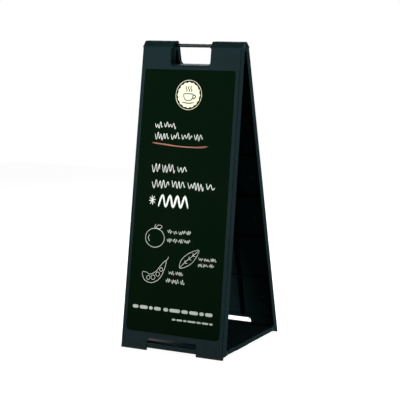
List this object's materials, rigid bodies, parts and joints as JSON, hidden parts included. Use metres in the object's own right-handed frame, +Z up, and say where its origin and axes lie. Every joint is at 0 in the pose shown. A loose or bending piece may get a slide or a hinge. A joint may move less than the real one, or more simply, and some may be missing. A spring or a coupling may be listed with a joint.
{
  "type": "sandwich board",
  "caption": "Folding A-frame sign with two hollow moulded panels on a carrying rod, chalk boards on both faces and a folding two-leaf base plate.",
  "frame": {"origin": "centre of the footprint on the ground", "axes": "+Z up; X across the panels; the front panel's face looks towards -Y and up"},
  "size_m": [0.384, 0.4018, 1.001],
  "materials": {
    "frame_plastic": "fine-textured moulded plastic",
    "chalk_board": "matte writing surface",
    "rod_paint": "dark paint on steel",
    "steel": "satin",
    "fastener_steel": "zinc plated",
    "pad_rubber": "matte",
    "nylon": "smooth"
  },
  "bodies": {
    "front_panel": {"front_panel": "frame_plastic", "front_chalk_board": "chalk_board", "front_board_screws": "fastener_steel", "front_foot_pad_left": "pad_rubber", "front_foot_pad_right": "pad_rubber", "front_leaf_pin_left": "fastener_steel", "front_leaf_pin_right": "fastener_steel", "hinge_rod": "rod_paint", "hinge_washers": "nylon", "rod_cap_left": "nylon", "rod_cap_right": "nylon"},
    "rear_panel": {"rear_panel": "frame_plastic", "rear_chalk_board": "chalk_board", "rear_board_screws": "fastener_steel", "rear_foot_pad_left": "pad_rubber", "rear_foot_pad_right": "pad_rubber", "rear_leaf_pin_left": "fastener_steel", "rear_leaf_pin_right": "fastener_steel"},
    "front_base_leaf": {"front_base_leaf": "frame_plastic", "centre_hinge_pins": "steel"},
    "rear_base_leaf": {"rear_base_leaf": "frame_plastic"}
  },
  "joints": [
    {"name": "panel_fold", "type": "hinge", "parent": "front_panel", "child": "rear_panel", "pos_m": [0, 0, 0.9865], "axis": [-1, 0, 0], "range_deg": [0, 17.7]},
    {"name": "front_leaf_fold", "type": "hinge", "parent": "front_panel", "child": "front_base_leaf", "pos_m": [0, -0.16343, 0.0165], "axis": [1, 0, 0], "range_deg": [0, 80]},
    {"name": "rear_leaf_fold", "type": "hinge", "parent": "rear_panel", "child": "rear_base_leaf", "pos_m": [0, 0.16343, 0.0165], "axis": [-1, 0, 0], "range_deg": [0, 80]}
  ],
  "couplings": [
    {"joint": "front_leaf_fold", "follows": "panel_fold", "ratio": 4.5},
    {"joint": "rear_leaf_fold", "follows": "panel_fold", "ratio": 4.5}
  ]
}
